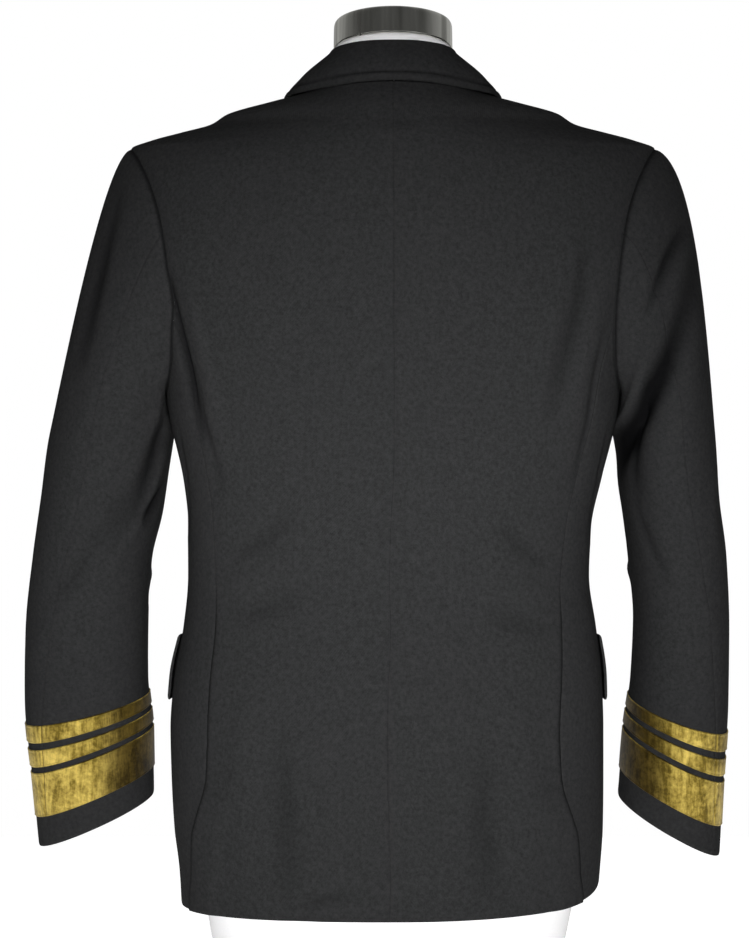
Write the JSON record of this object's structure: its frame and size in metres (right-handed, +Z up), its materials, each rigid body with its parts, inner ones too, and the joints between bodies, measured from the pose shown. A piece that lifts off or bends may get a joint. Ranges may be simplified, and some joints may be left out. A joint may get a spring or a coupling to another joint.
{
  "type": "reefer jacket on a limbless dress form",
  "caption": "Double-breasted reefer jacket with gold lace rings round the cuffs, on a limbless dress form that stands on its own flat base.",
  "frame": {"origin": "middle of the part seen from above, on the surface that the dress form stands on", "axes": "+Z up, the jacket's front faces -Y, its back +Y, the wearer's left is +X"},
  "size_m": [0.6398, 0.2747, 0.8382],
  "materials": {
    "black_wool": "matte woven wool, near black",
    "gold_lace": "woven metallic lace, ribbed, half shiny",
    "gilt_button": "polished gilt, plain dome",
    "form_cover": "matte pale cloth cover",
    "neck_metal": "polished, slightly olive grey"
  },
  "bodies": {
    "root": {"back_left": "black_wool", "side_left": "black_wool", "front_left": "black_wool", "lapel_left": "black_wool", "top_sleeve_left": "black_wool", "under_sleeve_left": "black_wool", "pocket_flap_left": "black_wool", "back_right": "black_wool", "side_right": "black_wool", "front_right": "black_wool", "lapel_right": "black_wool", "top_sleeve_right": "black_wool", "under_sleeve_right": "black_wool", "pocket_flap_right": "black_wool", "collar": "black_wool", "breast_welt": "black_wool", "lace_broad_left": "gold_lace", "lace_middle_left": "gold_lace", "lace_upper_left": "gold_lace", "lace_broad_right": "gold_lace", "lace_middle_right": "gold_lace", "lace_upper_right": "gold_lace", "button_1": "gilt_button", "button_2": "gilt_button", "button_3": "gilt_button", "button_4": "gilt_button", "button_5": "gilt_button", "button_6": "gilt_button", "button_7": "gilt_button", "button_8": "gilt_button", "dress_form": "form_cover", "neck_cap": "neck_metal"}
  },
  "joints": []
}
